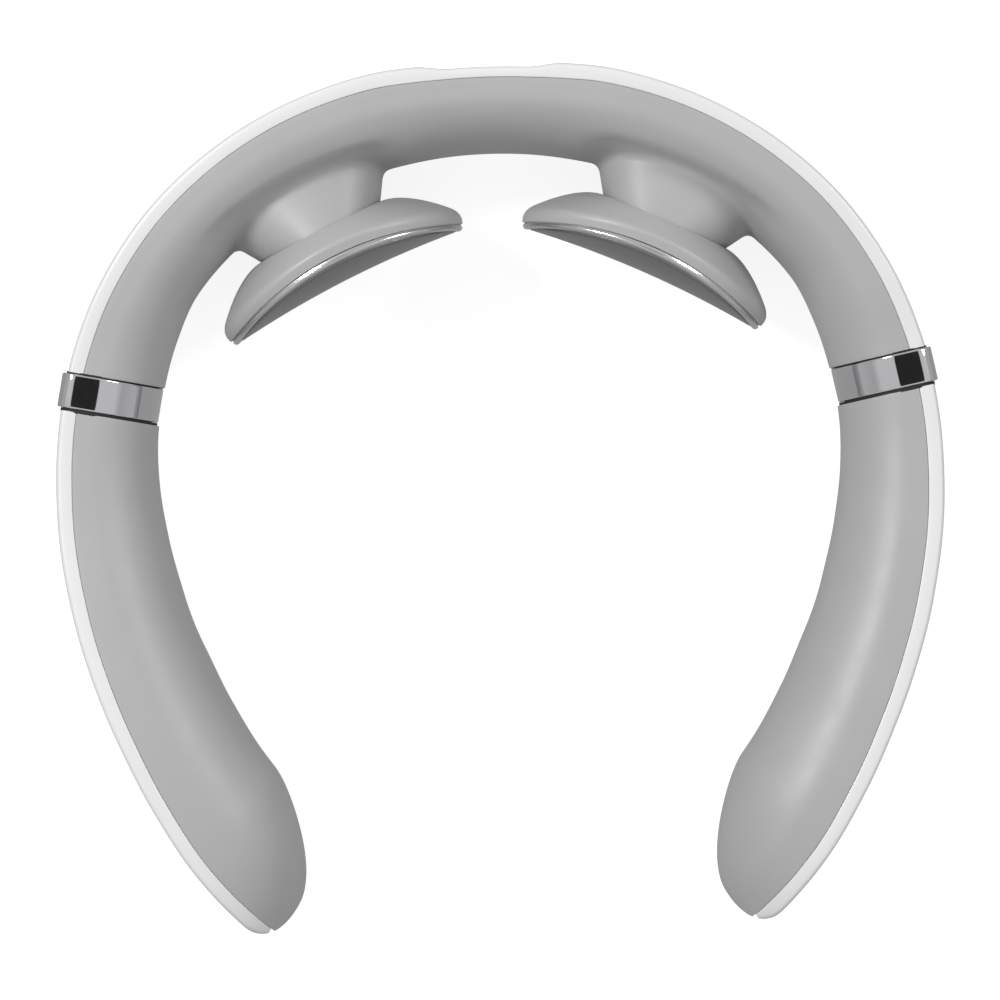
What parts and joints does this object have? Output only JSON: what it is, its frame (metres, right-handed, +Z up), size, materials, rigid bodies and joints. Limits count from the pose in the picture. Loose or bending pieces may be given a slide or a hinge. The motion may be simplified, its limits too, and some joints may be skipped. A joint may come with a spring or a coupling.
{
  "type": "neck massager",
  "caption": "C-shaped pulse neck massager with floating oval contact heads on the nape band and sprung arms on ringed hinges.",
  "frame": {"origin": "on the surface it rests on, under the centre of its box", "axes": "+X to the wearer's right-hand arm when seen with the nape at the top, +Y towards the nape, +Z up from the surface, along the band's height"},
  "size_m": [0.1503, 0.1454, 0.039],
  "materials": {
    "cover_white": "satin white ABS, finely polished",
    "shell_grey": "soft-touch light grey coating",
    "chrome": "polished chrome plating",
    "steel": "satin stainless steel",
    "frame_plastic": "moulded dark engineering plastic",
    "board_green": "green solder-mask circuit board",
    "battery_foil": "laminated aluminium pouch",
    "film_amber": "amber polyimide film",
    "lens_clear": "clear light guide"
  },
  "bodies": {
    "nape": {"back_cover": "cover_white", "neck_shell": "shell_grey", "nape_chassis": "frame_plastic", "nape_screw_1": "steel", "nape_screw_2": "steel", "nape_screw_3": "steel", "nape_screw_4": "steel", "pulse_board": "board_green", "right_hinge_ring": "chrome", "left_hinge_ring": "chrome", "right_hinge_pin": "steel", "left_hinge_pin": "steel", "right_hinge_spring": "steel", "left_hinge_spring": "steel"},
    "right_arm": {"right_arm_cover": "cover_white", "right_arm_shell": "shell_grey", "right_arm_frame": "frame_plastic", "right_arm_screw_1": "steel", "right_arm_screw_2": "steel", "main_board": "board_green", "switch_plus": "frame_plastic", "switch_power": "frame_plastic", "switch_minus": "frame_plastic", "usb_socket": "steel", "buzzer": "frame_plastic", "led_lens": "lens_clear"},
    "left_arm": {"left_arm_cover": "cover_white", "left_arm_shell": "shell_grey", "left_arm_frame": "frame_plastic", "left_arm_screw_1": "steel", "left_arm_screw_2": "steel", "battery": "battery_foil", "battery_board": "board_green"},
    "plus_key": {"button_plus": "shell_grey"},
    "power_key": {"button_power": "shell_grey"},
    "minus_key": {"button_minus": "shell_grey"},
    "right_gimbal": {"right_gimbal_cross": "steel"},
    "left_gimbal": {"left_gimbal_cross": "steel"},
    "right_head": {"right_head_stem": "frame_plastic", "right_head_shell": "shell_grey", "right_contact_plate": "steel", "right_contact_trim": "chrome", "right_head_carrier": "frame_plastic", "right_heater_film": "film_amber"},
    "left_head": {"left_head_stem": "frame_plastic", "left_head_shell": "shell_grey", "left_contact_plate": "steel", "left_contact_trim": "chrome", "left_head_carrier": "frame_plastic", "left_heater_film": "film_amber"}
  },
  "joints": [
    {"name": "right_arm_hinge", "type": "hinge", "parent": "nape", "child": "right_arm", "pos_m": [0.07058, 0.01947, 0.0195], "axis": [0, 0, 1], "range_deg": [0, 9], "stiffness_Nm_per_rad": 1.5, "springref_deg": -2.86},
    {"name": "left_arm_hinge", "type": "hinge", "parent": "nape", "child": "left_arm", "pos_m": [-0.07058, 0.01947, 0.0195], "axis": [0, 0, -1], "range_deg": [0, 9], "stiffness_Nm_per_rad": 1.5, "springref_deg": -2.86},
    {"name": "right_head_swivel", "type": "hinge", "parent": "nape", "child": "right_gimbal", "pos_m": [0.03255, 0.05285, 0.0195], "axis": [0, 0, 1], "range_deg": [-5, 5], "stiffness_Nm_per_rad": 0.06},
    {"name": "right_head_tilt", "type": "hinge", "parent": "right_gimbal", "child": "right_head", "pos_m": [0.03255, 0.05285, 0.0195], "axis": [0.9037, -0.4281, 0], "range_deg": [-4, 4], "stiffness_Nm_per_rad": 0.06},
    {"name": "left_head_swivel", "type": "hinge", "parent": "nape", "child": "left_gimbal", "pos_m": [-0.03255, 0.05285, 0.0195], "axis": [0, 0, -1], "range_deg": [-5, 5], "stiffness_Nm_per_rad": 0.06},
    {"name": "left_head_tilt", "type": "hinge", "parent": "left_gimbal", "child": "left_head", "pos_m": [-0.03255, 0.05285, 0.0195], "axis": [-0.9037, -0.4281, 0], "range_deg": [-4, 4], "stiffness_Nm_per_rad": 0.06},
    {"name": "plus_key_press", "type": "slide", "parent": "right_arm", "child": "plus_key", "axis": [-0.9992, 0.0401, 0], "range_m": [0, 0.0004], "stiffness_N_per_m": 1500, "springref_m": -0.0005},
    {"name": "power_key_press", "type": "slide", "parent": "right_arm", "child": "power_key", "axis": [-0.9905, 0.1376, 0], "range_m": [0, 0.0004], "stiffness_N_per_m": 1500, "springref_m": -0.0005},
    {"name": "minus_key_press", "type": "slide", "parent": "right_arm", "child": "minus_key", "axis": [-0.9785, 0.2062, 0], "range_m": [0, 0.0004], "stiffness_N_per_m": 1500, "springref_m": -0.0005}
  ]
}
